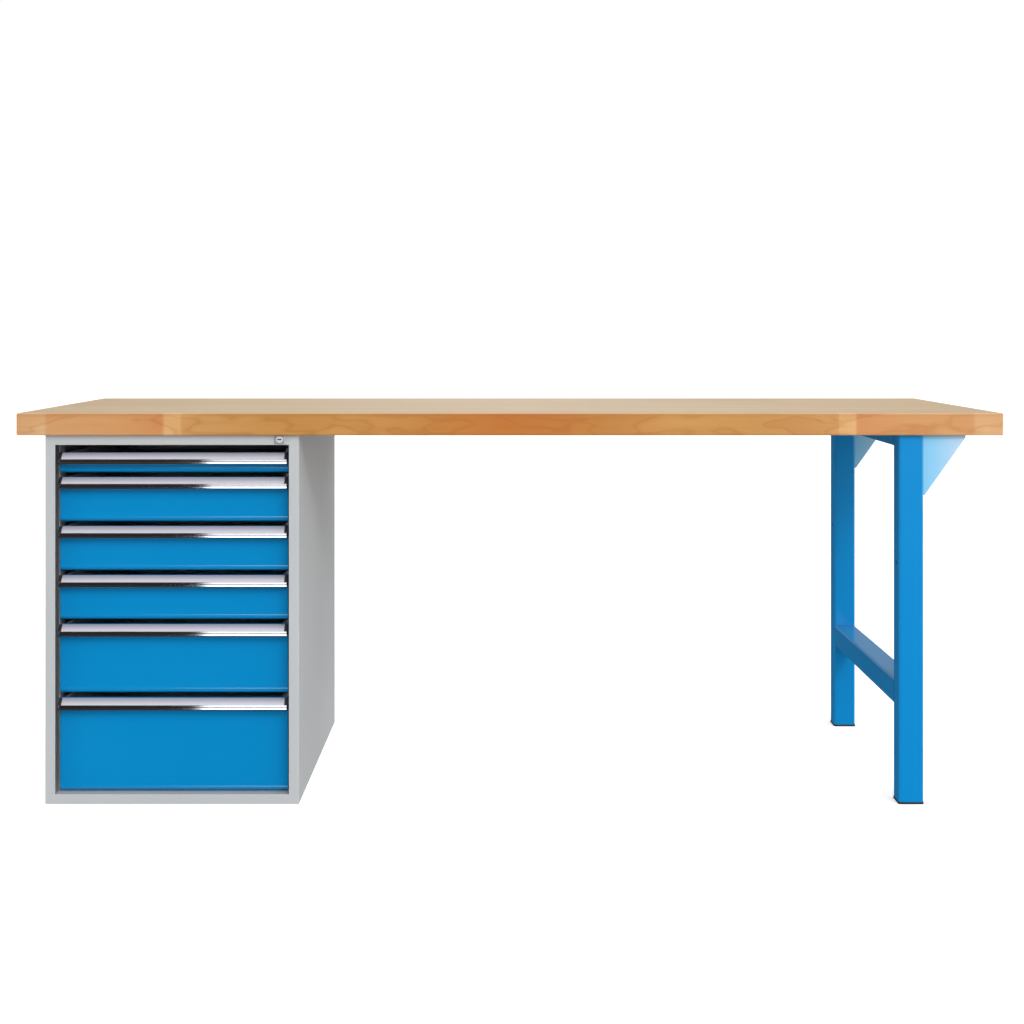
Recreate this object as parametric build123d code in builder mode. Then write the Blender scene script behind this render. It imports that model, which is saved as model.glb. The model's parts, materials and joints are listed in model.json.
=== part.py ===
from build123d import *

import os

# Workbench: a wooden worktop on a steel cabinet with six drawers and a tubular leg frame.
# Millimetres. +X runs along the bench to the right, +Y to the back, +Z up.
# The origin is on the floor, under the middle of the worktop.

# ---------------------------------------------------------------- driving dimensions

# Worktop
bench_length = 2000.0
bench_depth = 750.0
bench_height = 795.0
top_thickness = 45.0
top_edge_radius = 3.0

# Cabinet carcass, folded from sheet
cabinet_width = 515.0
cabinet_depth = 725.0
cabinet_inset = 56.0  # worktop's left end to the cabinet
front_setback = 12.0  # worktop's front edge to the cabinet and the leg frame
side_sheet = 1.5
back_sheet = 1.2
stile_width = 20.0
rail_height = 20.0
rail_flange = 20.0
angle_reach = 80.0  # frame's face to the rear of the angle that carries the slides
sheet_bend_radius = 1.2
top_plate_setback = 45.0  # leaves room for the lock behind the top rail
plate_flange = 15.0

# Drawer stack, from the top down, in units of front height
drawer_units = (1, 2, 2, 2, 3, 4)
gap_over_stack = 8.5
gap_under_stack = 0.6

# Drawer front
front_recess = 22.0  # frame's face to the drawer front's face
front_side_gap = 4.0
front_bottom_gap = 0.6
front_top_gap = 7.5
front_sheet = 1.2
front_bend_radius = 8.5
front_flange_land = 1.5  # flat left on the side flanges behind the lower bend
front_edge_radius = 1.5

# Handle extrusion, measured back and down from the front's face and the handle's top
handle_wall = 2.0
handle_reach = 18.5  # how far the sloped strip comes forward
handle_slope_drop = 15.3
handle_top_flat = 3.0
handle_neck_set = 3.5
handle_height = 24.0
nose_height = 6.0
nose_round = 4.0  # upper front corner of the nose
nose_set = 1.0  # how far the nose stands in front of the strip
ridge_width = 1.5
ridge_height = 1.4
handle_end_gap = 1.5
cap_length = 5.0
cap_wall = 1.2
label_thickness = 0.8
label_clearance = 0.2

# Drawer box
box_sheet = 1.0
box_bottom_gap = 4.0
box_top_gap = 10.0
box_rim = 6.0

# Telescopic slides
slide_length = 600.0
slide_height = 30.0
slide_wall = 1.2
slide_raise = 2.0  # drawer slot's bottom to the slide
slide_width = 13.0
outer_depth = 10.0
ball_gap = 2.5
web_gap = 0.8
slide_to_box_end = 4.0
slide_screw_overlap = 25.0  # rear lip's overlap with the slide's rear end

# Lock
lock_from_opening = 19.0  # opening's right edge to the lock's axis
lock_below_top = 9.0  # cabinet's top to the lock's axis
bezel_width = 20.0
bezel_height = 17.6
bezel_thickness = 3.0
bezel_corner_radius = 1.5
bezel_chamfer = 0.75
barrel_radius = 8.4
cylinder_radius = 7.2
cylinder_clearance = 0.3
cylinder_proud = 1.0
cylinder_chamfer = 0.5
keyway_width = 2.2
keyway_length = 9.0
keyway_depth = 6.0
cam_thickness = 2.0
cam_width = 9.0
pin_radius = 2.0
lock_travel = 8.0  # the bar's drop in a quarter turn, and the cam pin's radius
pin_slot_clearance = 2.2  # the bar moves evenly with the turn, the pin on a circle
bar_thickness = 2.0
bar_width = 12.0
bar_clearance = 1.0
bar_from_flange = 2.0
bar_tail = 50.0
arm_height = 12.5
tab_height = 6.0
tab_over_catch = 2.0
tab_reach = 10.0
catch_depth = 8.0
catch_side_gap = 5.5

# Leg frame
leg_size = 50.0
leg_wall = 2.0
leg_corner_radius = 4.5
leg_right_inset = 159.4  # worktop's right end to the legs' outer face
frame_depth = 730.0
foot_height = 4.0
foot_flare = 1.0
foot_plug = 20.0
foot_plug_clearance = 0.2
top_bar_height = 25.0
stretcher_size = 50.0
stretcher_bottom = 195.0
frame_hole_radius = 4.5
frame_hole_height = 488.0
gusset_width = 86.0
gusset_height = 122.0
gusset_plate = 5.0
gusset_set = 3.0
gusset_flange = 32.0
gusset_blunt = 3.0

# Screws that hold the worktop down
screw_radius = 3.0
screw_clearance = 0.1
screw_bite = 30.0
screw_head_radius = 6.0
screw_head_height = 3.5
cabinet_screw_inset = 60.0
bar_screw_spacing = 200.0

# ---------------------------------------------------------------- places

cabinet_height = bench_height - top_thickness
cabinet_left = cabinet_inset - bench_length / 2
cabinet_right = cabinet_left + cabinet_width
cabinet_middle = (cabinet_left + cabinet_right) / 2
cabinet_front = front_setback - bench_depth / 2
cabinet_back = cabinet_front + cabinet_depth
carcass_back = cabinet_back - back_sheet
opening_left = cabinet_left + stile_width
opening_right = cabinet_right - stile_width
opening_width = opening_right - opening_left
opening_top = cabinet_height - rail_height

stack_height = opening_top - rail_height - gap_over_stack - gap_under_stack
unit_height = stack_height / sum(drawer_units)
slot_tops = [
    opening_top - gap_over_stack - unit_height * sum(drawer_units[:above])
    for above in range(len(drawer_units))
]

panel_face = cabinet_front + front_recess
front_flange = front_bend_radius + front_flange_land
panel_back = panel_face + front_flange
front_width = opening_width - 2 * front_side_gap

bar_front = panel_back + bar_from_flange
bar_back = bar_front + bar_thickness
catch_front = bar_back + bar_clearance
catch_back = catch_front + catch_depth
slide_front = catch_back + slide_to_box_end
slide_back = slide_front + slide_length
box_front = panel_face + front_sheet
box_back = slide_back + slide_to_box_end
box_width = opening_width - 2 * slide_width
box_front_bend = front_bend_radius - (box_bottom_gap - front_bottom_gap)
rear_lip_depth = carcass_back - slide_back + slide_screw_overlap
top_plate_front = cabinet_front + top_plate_setback
angle_back = cabinet_front + angle_reach

lock_x = opening_right - lock_from_opening
lock_z = cabinet_height - lock_below_top
cam_back = bar_front - bar_clearance / 2
cam_front = cam_back - cam_thickness
bar_left = opening_right + side_sheet + bar_clearance
bar_right = bar_left + bar_width
tab_left = opening_right - tab_reach
arm_left = lock_x - pin_radius - pin_slot_clearance - bar_clearance
arm_top = lock_z + arm_height / 2
arm_bottom = lock_z - arm_height / 2

leg_right = bench_length / 2 - leg_right_inset
leg_left = leg_right - leg_size
leg_middle = leg_right - leg_size / 2
frame_front = cabinet_front
frame_back = frame_front + frame_depth
front_leg_y = frame_front + leg_size / 2
back_leg_y = frame_back - leg_size / 2

middle_height = slide_height - 2 * slide_wall - 2 * ball_gap
inner_height = middle_height - 2 * slide_wall - 2 * ball_gap
middle_web = slide_wall + web_gap
inner_reach = slide_width - middle_web - slide_wall - web_gap
middle_depth = outer_depth - web_gap

cabinet_screws = [
    (x, y)
    for x in (opening_left + cabinet_screw_inset, opening_right - cabinet_screw_inset)
    for y in (top_plate_front + cabinet_screw_inset, carcass_back - cabinet_screw_inset)
]
bar_screws = [(leg_middle, side * bar_screw_spacing) for side in (-1, 0, 1)]
gusset_fronts = [frame_front + gusset_set, frame_back - leg_size + gusset_set]
gusset_screws = [
    (leg_right + gusset_width / 2, front + gusset_plate + gusset_flange / 2)
    for front in gusset_fronts
]


# ---------------------------------------------------------------- helpers


def upright(y):
    """The plane facing the front at a given Y; extruding from it goes forward."""
    return Plane.XZ.offset(-y)


def area(a0, a1, b0, b1):
    """A rectangle between two pairs of values in the current sketch."""
    with Locations(((a0 + a1) / 2, (b0 + b1) / 2)):
        Rectangle(abs(a1 - a0), abs(b1 - b0))


def slide_section(web, heading, depth, height, centre):
    """A channel on its side: the web at one X, its two flanges heading left or right."""
    with Locations((web + heading * depth / 2, centre)):
        Rectangle(depth, height)
    with Locations((web + heading * (slide_wall + depth) / 2, centre)):
        Rectangle(depth - slide_wall, height - 2 * slide_wall, mode=Mode.SUBTRACT)


def pair_of_slides(web_from_edge, heading, depth, height, centre):
    """The same channel at both sides of the opening; heading 1 is into the opening."""
    with BuildPart() as pair:
        for edge, inward in ((opening_left, 1), (opening_right, -1)):
            with BuildSketch(upright(slide_back)):
                web = edge + inward * web_from_edge
                slide_section(web, inward * heading, depth, height, centre)
            extrude(amount=slide_length)
    return pair.part


def cabinet_side(outer, inward):
    """A folded side: outer wall, front stile, rear flange and lip, and the slides' angle."""
    wall = outer + inward * side_sheet
    edge = outer + inward * stile_width
    lip = edge - inward * side_sheet
    with BuildPart() as side:
        with BuildSketch(Plane.XY):
            area(outer, wall, cabinet_front, carcass_back)
            area(outer, edge, cabinet_front, cabinet_front + side_sheet)
            # welded angle: one leg at the opening's edge, the other across to the wall
            area(lip, edge, bar_back + bar_clearance, angle_back)
            area(outer, edge, angle_back - side_sheet, angle_back)
            area(outer, edge, carcass_back - side_sheet, carcass_back)
            area(lip, edge, carcass_back - rear_lip_depth, carcass_back)
        extrude(amount=cabinet_height)
        # the top rail's face takes the stile's place above the opening
        with BuildSketch(Plane.XY.offset(opening_top)):
            area(outer, edge, cabinet_front, cabinet_front + side_sheet)
        extrude(amount=rail_height, mode=Mode.SUBTRACT)
        corner = (outer, cabinet_front, opening_top / 2)
        fillet(side.edges().filter_by(Axis.Z).sort_by_distance(corner)[0], sheet_bend_radius)
    return side.part


def cabinet_floor_plan(front):
    """The outline of a plate inside the carcass, with notches round the folded stiles."""
    area(cabinet_left + side_sheet, cabinet_right - side_sheet, front, carcass_back - side_sheet)
    for wall, edge in (
        (cabinet_left + side_sheet, opening_left),
        (cabinet_right - side_sheet, opening_right),
    ):
        middle = (wall + edge) / 2
        width = abs(edge - wall)
        front_notch = angle_back - front
        with Locations((middle, front + front_notch / 2)):
            Rectangle(width, front_notch, mode=Mode.SUBTRACT)
        with Locations((middle, carcass_back - rear_lip_depth / 2)):
            Rectangle(width, rear_lip_depth, mode=Mode.SUBTRACT)


def square_tube(size, wall, corner):
    """A square tube's section in the current sketch."""
    RectangleRounded(size, size, corner)
    RectangleRounded(size - 2 * wall, size - 2 * wall, corner - wall, mode=Mode.SUBTRACT)


def welded(label, *pieces):
    """One node of pieces that stay separate solids where they touch."""
    return Compound([solid for piece in pieces for solid in piece.solids()], label=label)


os.makedirs("parts", exist_ok=True)

# ---------------------------------------------------------------- worktop

with BuildPart() as worktop:
    with BuildSketch(Plane.XY.offset(cabinet_height)):
        Rectangle(bench_length, bench_depth)
    extrude(amount=top_thickness)
    fillet(worktop.edges(), top_edge_radius)
    with BuildSketch(Plane.XY.offset(cabinet_height)):
        with Locations(*cabinet_screws, *bar_screws, *gusset_screws):
            Circle(screw_radius)
    extrude(amount=screw_bite, mode=Mode.SUBTRACT)
worktop.part.label = "worktop"
export_step(worktop.part, "parts/worktop.step")

# ---------------------------------------------------------------- cabinet carcass

with BuildPart() as cabinet_left_side:
    add(cabinet_side(cabinet_left, 1))
cabinet_left_side.part.label = "cabinet_left_side"
export_step(cabinet_left_side.part, "parts/cabinet_left_side.step")

with BuildPart() as cabinet_right_side:
    add(cabinet_side(cabinet_right, -1))
cabinet_right_side.part.label = "cabinet_right_side"
export_step(cabinet_right_side.part, "parts/cabinet_right_side.step")

with BuildPart() as cabinet_back_panel:
    with BuildSketch(upright(cabinet_back)):
        area(cabinet_left, cabinet_right, 0, cabinet_height)
    extrude(amount=back_sheet)
cabinet_back_panel.part.label = "cabinet_back"
export_step(cabinet_back_panel.part, "parts/cabinet_back.step")

with BuildPart() as cabinet_top_plate:
    with BuildSketch(Plane.XY.offset(cabinet_height - side_sheet)):
        cabinet_floor_plan(top_plate_front)
        with Locations(*cabinet_screws):
            Circle(screw_radius + screw_clearance, mode=Mode.SUBTRACT)
    extrude(amount=side_sheet)
    with BuildSketch(Plane.XY.offset(cabinet_height - plate_flange)):
        area(opening_left, opening_right, top_plate_front, top_plate_front + side_sheet)
    extrude(amount=plate_flange)
cabinet_top_plate.part.label = "cabinet_top_plate"
export_step(cabinet_top_plate.part, "parts/cabinet_top_plate.step")

with BuildPart() as cabinet_base_plate:
    with BuildSketch(Plane.XY.offset(rail_height - side_sheet)):
        cabinet_floor_plan(cabinet_front)
    extrude(amount=side_sheet)
    # the plate's front and rear edges turn down to the floor
    with BuildSketch(Plane.XY):
        area(opening_left, opening_right, cabinet_front, cabinet_front + side_sheet)
        area(opening_left, opening_right, carcass_back - 2 * side_sheet, carcass_back - side_sheet)
    extrude(amount=rail_height)
    rail_edge = (cabinet_middle, cabinet_front, rail_height)
    fillet(
        cabinet_base_plate.edges().filter_by(Axis.X).sort_by_distance(rail_edge)[0],
        sheet_bend_radius,
    )
cabinet_base_plate.part.label = "cabinet_base_plate"
export_step(cabinet_base_plate.part, "parts/cabinet_base_plate.step")

with BuildPart() as front_top_rail:
    with BuildSketch(upright(cabinet_front + side_sheet)):
        area(cabinet_left, cabinet_right, opening_top, cabinet_height)
        with Locations((lock_x, lock_z)):
            Circle(barrel_radius, mode=Mode.SUBTRACT)
    extrude(amount=side_sheet)
    with BuildSketch(Plane.XY.offset(opening_top)):
        area(opening_left, opening_right, cabinet_front, cabinet_front + rail_flange)
    extrude(amount=side_sheet)
    for corner_x in (cabinet_left, cabinet_right):
        rail_end = (corner_x, cabinet_front, opening_top + rail_height / 2)
        fillet(
            front_top_rail.edges().filter_by(Axis.Z).sort_by_distance(rail_end)[0],
            sheet_bend_radius,
        )
front_top_rail.part.label = "front_top_rail"
export_step(front_top_rail.part, "parts/front_top_rail.step")

# ---------------------------------------------------------------- lock

with BuildPart() as lock_housing:
    with BuildSketch(upright(cabinet_front)):
        with Locations((lock_x, lock_z)):
            RectangleRounded(bezel_width, bezel_height, bezel_corner_radius)
    extrude(amount=bezel_thickness)
    bezel_face = lock_housing.faces().sort_by(Axis.Y)[0]
    chamfer(bezel_face.edges(), bezel_chamfer)
    with BuildSketch(upright(cam_front - bar_clearance)):
        with Locations((lock_x, lock_z)):
            Circle(barrel_radius)
    extrude(amount=cam_front - bar_clearance - cabinet_front)
    with BuildSketch(upright(cam_front)):
        with Locations((lock_x, lock_z)):
            Circle(cylinder_radius + cylinder_clearance)
    extrude(amount=cam_front - cabinet_front + bezel_thickness, mode=Mode.SUBTRACT)
lock_housing.part.label = "lock_housing"
export_step(lock_housing.part, "parts/lock_housing.step")

cylinder_face = cabinet_front - bezel_thickness - cylinder_proud

with BuildPart() as lock_cylinder:
    with BuildSketch(upright(cam_front)):
        with Locations((lock_x, lock_z)):
            Circle(cylinder_radius)
    extrude(amount=cam_front - cylinder_face)
    chamfer(lock_cylinder.edges().sort_by(Axis.Y)[0], cylinder_chamfer)
    # the cam reaches to the right, and its pin runs in the lock bar's arm
    with BuildSketch(upright(cam_back)):
        with Locations((lock_x + lock_travel / 2, lock_z)):
            SlotCenterToCenter(lock_travel, cam_width)
    extrude(amount=cam_thickness)
    with BuildSketch(upright(bar_back)):
        with Locations((lock_x + lock_travel, lock_z)):
            Circle(pin_radius)
    extrude(amount=bar_back - cam_back)
    with BuildSketch(upright(cylinder_face + keyway_depth)):
        with Locations((lock_x, lock_z)):
            SlotOverall(keyway_length, keyway_width)
    extrude(amount=keyway_depth, mode=Mode.SUBTRACT)
lock_cylinder.part.label = "lock_cylinder"
export_step(lock_cylinder.part, "parts/lock_cylinder.step")

with BuildPart() as lock_upright:
    with BuildSketch(upright(bar_back)):
        area(bar_left, bar_right, slot_tops[-1] - box_top_gap - bar_tail, arm_top)
    extrude(amount=bar_thickness)

# tabs and an arm are welded to the upright's left edge
with BuildPart() as lock_tabs:
    with BuildSketch(upright(bar_back)):
        for slot_top in slot_tops:
            tab_bottom = slot_top - box_top_gap + tab_over_catch
            area(tab_left, bar_left, tab_bottom, tab_bottom + tab_height)
    extrude(amount=bar_thickness)

with BuildPart() as lock_arm:
    with BuildSketch(upright(bar_back)):
        area(arm_left, bar_left, arm_bottom, arm_top)
        with Locations((lock_x + lock_travel / 2, lock_z)):
            SlotOverall(
                lock_travel + 2 * pin_radius + 2 * pin_slot_clearance,
                2 * pin_radius + 2 * pin_slot_clearance,
                mode=Mode.SUBTRACT,
            )
    extrude(amount=bar_thickness)

lock_bar = welded("lock_bar", lock_upright, lock_tabs, lock_arm)
export_step(lock_bar, "parts/lock_bar.step")

# ---------------------------------------------------------------- slides' fixed members

with BuildPart() as cabinet_slides:
    for slot_top, units in zip(slot_tops, drawer_units):
        slide_centre = slot_top - units * unit_height + slide_raise + slide_height / 2
        add(pair_of_slides(0, 1, outer_depth, slide_height, slide_centre))
cabinet_slides.part.label = "cabinet_slides"
export_step(cabinet_slides.part, "parts/cabinet_slides.step")

# ---------------------------------------------------------------- drawers

# The handle's sloped face, in (Y from the front's face, Z from the handle's top)
slope_top = (-handle_top_flat, -cap_wall)
slope_foot = (-handle_reach, -handle_slope_drop)
slope_run = Vector(slope_foot[0] - slope_top[0], slope_foot[1] - slope_top[1])
slope_along = slope_run.normalized()
slope_out = Vector(slope_along.Y, -slope_along.X)


def slope_point(from_top, outward):
    """A point on the handle's sloped face, or this far outward of it."""
    point = Vector(*slope_top) + slope_along * from_top + slope_out * outward
    return (point.X, point.Y)


def slope_strip(start, end, low, high):
    """A strip along the sloped face, between two distances along it and two heights."""
    corners = [(start, low), (end, low), (end, high), (start, high)]
    Polygon(*[slope_point(along, outward) for along, outward in corners], align=None)


for number, (slot_top, units) in enumerate(zip(slot_tops, drawer_units), start=1):
    slot_bottom = slot_top - units * unit_height
    panel_bottom = slot_bottom + front_bottom_gap
    panel_top = slot_top - front_top_gap
    slide_centre = slot_bottom + slide_raise + slide_height / 2
    panel_left = cabinet_middle - front_width / 2
    panel_right = cabinet_middle + front_width / 2
    handle_left = panel_left + handle_end_gap
    handle_right = panel_right - handle_end_gap

    with BuildPart() as drawer_front:
        with BuildSketch(upright(panel_back)):
            area(panel_left, panel_right, panel_bottom, panel_top - cap_wall)
        extrude(amount=front_flange)
        face_edges = drawer_front.faces().sort_by(Axis.Y)[0].edges().filter_by(Axis.X)
        fillet(face_edges.sort_by(Axis.Z)[0], front_bend_radius)
        for end_face in drawer_front.faces().filter_by(Axis.X):
            fillet(end_face.edges().sort_by(Axis.Y)[:-1], front_edge_radius)
        offset(amount=-front_sheet, openings=drawer_front.faces().sort_by(Axis.Y)[-1])
    drawer_front.part.label = f"drawer_{number}_front"
    export_step(drawer_front.part, f"parts/drawer_{number}_front.step")

    handle_plane = Plane(
        origin=(handle_left, panel_face, panel_top), x_dir=(0, 1, 0), z_dir=(1, 0, 0)
    )
    strip_length = slope_run.length
    neck_front = -handle_reach + handle_neck_set
    neck_top = slope_foot[1] + handle_neck_set * slope_run.Y / slope_run.X
    nose_front = -handle_reach - nose_set
    nose_top = -handle_height + nose_height

    with BuildPart() as drawer_handle:
        with BuildSketch(handle_plane) as section:
            area(-handle_wall, 0, -handle_height, -cap_wall)
            slope_strip(0, strip_length, -handle_wall, 0)
            slope_strip(strip_length - ridge_width, strip_length, 0, ridge_height)
            area(-handle_top_flat, 0, -cap_wall - handle_wall, -cap_wall)
            area(neck_front, neck_front + handle_wall, -handle_height, neck_top)
            area(nose_front, neck_front + handle_wall, -handle_height, nose_top)
            nose_corner = section.vertices().sort_by_distance((nose_front, nose_top))[0]
            fillet(nose_corner, nose_round)
        extrude(amount=handle_right - handle_left)
    drawer_handle.part.label = f"drawer_{number}_handle"
    export_step(drawer_handle.part, f"parts/drawer_{number}_handle.step")

    with BuildPart() as drawer_label:
        with BuildSketch(handle_plane.offset(cap_length + label_clearance)):
            slope_strip(label_clearance, strip_length - ridge_width - label_clearance,
                        0, label_thickness)
        extrude(amount=handle_right - handle_left - 2 * cap_length - 2 * label_clearance)
    drawer_label.part.label = f"drawer_{number}_label"
    export_step(drawer_label.part, f"parts/drawer_{number}_label.step")

    with BuildPart() as end_caps:
        for start, inward in ((0, 1), (handle_right - handle_left, -1)):
            with BuildSketch(handle_plane.offset(start)):
                slope_strip(0, strip_length - ridge_width, 0, cap_wall)
            extrude(amount=inward * cap_length)
            # cheek over the end of the extrusion
            with BuildSketch(handle_plane.offset(start)):
                Polygon(
                    (0, -cap_wall),
                    slope_top,
                    slope_point(0, cap_wall),
                    slope_point(strip_length - ridge_width, cap_wall),
                    slope_point(strip_length - ridge_width, ridge_height),
                    slope_point(strip_length, ridge_height),
                    (-handle_reach, -handle_height),
                    (0, -handle_height),
                    align=None,
                )
            extrude(amount=-inward * handle_end_gap)
    end_caps.part.label = f"drawer_{number}_end_caps"
    export_step(end_caps.part, f"parts/drawer_{number}_end_caps.step")

    with BuildPart() as drawer_box:
        box_bottom = slot_bottom + box_bottom_gap
        box_top = slot_top - box_top_gap
        box_middle = (box_front + box_back) / 2
        box_length = box_back - box_front
        with BuildSketch(Plane.XY.offset(box_bottom)):
            with Locations((cabinet_middle, box_middle)):
                Rectangle(box_width, box_length)
        extrude(amount=box_top - box_bottom)
        # the lower front edge follows the bend inside the front
        floor_edges = drawer_box.faces().sort_by(Axis.Z)[0].edges().filter_by(Axis.X)
        fillet(floor_edges.sort_by(Axis.Y)[0], box_front_bend)
        offset(amount=-box_sheet, openings=drawer_box.faces().sort_by(Axis.Z)[-1])
        # rim turned in all round
        with BuildSketch(Plane.XY.offset(box_top - box_sheet)):
            with Locations((cabinet_middle, box_middle)):
                Rectangle(box_width, box_length)
                Rectangle(box_width - 2 * box_rim, box_length - 2 * box_rim, mode=Mode.SUBTRACT)
        extrude(amount=box_sheet)

    # catch that the lock bar's tab stands in front of
    with BuildPart() as box_catch:
        with BuildSketch(Plane.XY.offset(box_top - tab_height)):
            area(cabinet_middle + box_width / 2, opening_right - catch_side_gap,
                 catch_front, catch_back)
        extrude(amount=tab_height)
    box_and_catch = welded(f"drawer_{number}_box", drawer_box, box_catch)
    export_step(box_and_catch, f"parts/drawer_{number}_box.step")

    with BuildPart() as slide_inner:
        add(pair_of_slides(slide_width, -1, inner_reach, inner_height, slide_centre))
    slide_inner.part.label = f"drawer_{number}_slide_inner"
    export_step(slide_inner.part, f"parts/drawer_{number}_slide_inner.step")

    with BuildPart() as slide_middle:
        add(pair_of_slides(middle_web, 1, middle_depth, middle_height, slide_centre))
    slide_middle.part.label = f"drawer_{number}_slide_middle"
    export_step(slide_middle.part, f"parts/drawer_{number}_slide_middle.step")

# ---------------------------------------------------------------- leg frame

for leg_name, leg_y in (("leg_front", front_leg_y), ("leg_back", back_leg_y)):
    with BuildPart() as leg:
        with BuildSketch(Plane.XY.offset(foot_height)):
            with Locations((leg_middle, leg_y)):
                square_tube(leg_size, leg_wall, leg_corner_radius)
        extrude(amount=cabinet_height - foot_height)
        # hole in the inner wall for a shelf or a rear panel
        with BuildSketch(Plane.YZ.offset(leg_left)):
            with Locations((leg_y, frame_hole_height)):
                Circle(frame_hole_radius)
        extrude(amount=leg_wall, mode=Mode.SUBTRACT)
    leg.part.label = leg_name
    export_step(leg.part, f"parts/{leg_name}.step")

with BuildPart() as leg_top_bar:
    with BuildSketch(upright(frame_back - leg_size)):
        with Locations((leg_middle, cabinet_height - top_bar_height / 2)):
            RectangleRounded(leg_size, top_bar_height, leg_corner_radius)
            RectangleRounded(
                leg_size - 2 * leg_wall,
                top_bar_height - 2 * leg_wall,
                leg_corner_radius - leg_wall,
                mode=Mode.SUBTRACT,
            )
    extrude(amount=frame_depth - 2 * leg_size)
    with BuildSketch(Plane.XY.offset(cabinet_height - top_bar_height)):
        with Locations(*bar_screws):
            Circle(screw_radius + screw_clearance)
    extrude(amount=top_bar_height, mode=Mode.SUBTRACT)
leg_top_bar.part.label = "leg_top_bar"
export_step(leg_top_bar.part, "parts/leg_top_bar.step")

with BuildPart() as leg_stretcher:
    with BuildSketch(upright(frame_back - leg_size)):
        with Locations((leg_middle, stretcher_bottom + stretcher_size / 2)):
            square_tube(stretcher_size, leg_wall, leg_corner_radius)
    extrude(amount=frame_depth - 2 * leg_size)
leg_stretcher.part.label = "leg_stretcher"
export_step(leg_stretcher.part, "parts/leg_stretcher.step")

with BuildPart() as leg_gussets:
    for gusset_front in gusset_fronts:
        with BuildSketch(upright(gusset_front + gusset_plate)):
            with BuildLine():
                Polyline(
                    (leg_right, cabinet_height),
                    (leg_right, cabinet_height - gusset_height),
                    (leg_right + gusset_blunt, cabinet_height - gusset_height),
                    (leg_right + gusset_width, cabinet_height - gusset_plate),
                    (leg_right + gusset_width, cabinet_height),
                    close=True,
                )
            make_face()
        extrude(amount=gusset_plate)
        # flange under the worktop
        with BuildSketch(Plane.XY.offset(cabinet_height - gusset_plate)):
            area(leg_right, leg_right + gusset_width, gusset_front + gusset_plate,
                 gusset_front + gusset_plate + gusset_flange)
            with Locations(*gusset_screws):
                Circle(screw_radius + screw_clearance, mode=Mode.SUBTRACT)
        extrude(amount=gusset_plate)
leg_gussets.part.label = "leg_gussets"
export_step(leg_gussets.part, "parts/leg_gussets.step")

with BuildPart() as leg_feet:
    plug_size = leg_size - 2 * leg_wall - 2 * foot_plug_clearance
    for leg_y in (front_leg_y, back_leg_y):
        with BuildSketch(Plane.XY):
            with Locations((leg_middle, leg_y)):
                RectangleRounded(
                    leg_size + 2 * foot_flare, leg_size + 2 * foot_flare, leg_corner_radius
                )
        extrude(amount=foot_height)
        with BuildSketch(Plane.XY.offset(foot_height)):
            with Locations((leg_middle, leg_y)):
                RectangleRounded(plug_size, plug_size, leg_corner_radius - leg_wall)
        extrude(amount=foot_plug)
leg_feet.part.label = "leg_feet"
export_step(leg_feet.part, "parts/leg_feet.step")

# ---------------------------------------------------------------- worktop screws

screw_seats = (
    (cabinet_screws, cabinet_height - side_sheet),
    (bar_screws, cabinet_height - top_bar_height),
    (gusset_screws, cabinet_height - gusset_plate),
)

with BuildPart() as worktop_screws:
    for places, seat in screw_seats:
        with BuildSketch(Plane.XY.offset(seat - screw_head_height)):
            with Locations(*places):
                Circle(screw_head_radius)
        extrude(amount=screw_head_height)
        with BuildSketch(Plane.XY.offset(seat)):
            with Locations(*places):
                Circle(screw_radius)
        extrude(amount=cabinet_height + screw_bite - seat)
worktop_screws.part.label = "worktop_screws"
export_step(worktop_screws.part, "parts/worktop_screws.step")
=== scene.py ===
import json
import math

import bmesh
import bpy
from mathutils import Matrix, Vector

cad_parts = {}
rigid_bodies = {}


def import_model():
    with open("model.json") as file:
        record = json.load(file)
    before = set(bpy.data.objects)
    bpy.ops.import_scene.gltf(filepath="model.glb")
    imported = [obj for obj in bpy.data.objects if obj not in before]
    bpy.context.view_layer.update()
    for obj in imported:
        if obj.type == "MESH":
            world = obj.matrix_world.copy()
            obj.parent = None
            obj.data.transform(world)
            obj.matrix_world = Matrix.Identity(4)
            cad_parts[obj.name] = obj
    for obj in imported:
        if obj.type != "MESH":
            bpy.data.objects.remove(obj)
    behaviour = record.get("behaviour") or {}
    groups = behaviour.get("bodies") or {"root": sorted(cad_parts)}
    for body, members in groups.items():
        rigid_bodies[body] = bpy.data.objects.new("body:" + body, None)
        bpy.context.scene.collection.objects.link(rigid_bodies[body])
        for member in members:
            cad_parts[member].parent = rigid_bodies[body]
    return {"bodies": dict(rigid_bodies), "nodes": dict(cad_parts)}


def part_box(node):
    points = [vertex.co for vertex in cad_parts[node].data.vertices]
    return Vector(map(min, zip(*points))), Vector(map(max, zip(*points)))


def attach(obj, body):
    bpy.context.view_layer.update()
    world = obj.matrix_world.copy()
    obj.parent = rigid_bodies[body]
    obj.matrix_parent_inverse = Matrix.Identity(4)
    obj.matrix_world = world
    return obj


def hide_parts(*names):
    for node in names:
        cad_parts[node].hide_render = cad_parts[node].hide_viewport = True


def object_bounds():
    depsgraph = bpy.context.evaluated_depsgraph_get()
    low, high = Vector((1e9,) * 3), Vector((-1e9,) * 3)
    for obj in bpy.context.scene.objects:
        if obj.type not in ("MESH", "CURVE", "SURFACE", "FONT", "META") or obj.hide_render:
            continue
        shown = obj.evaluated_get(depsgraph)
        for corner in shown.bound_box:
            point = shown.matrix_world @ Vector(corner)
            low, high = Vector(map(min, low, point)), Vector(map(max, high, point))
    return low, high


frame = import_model()
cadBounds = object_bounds()
scene = bpy.context.scene
drawers = [name for name in frame["bodies"] if name.startswith("drawer_")]
print("frame loaded:", len(frame["nodes"]), "nodes,", len(drawers), "drawers")


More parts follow.
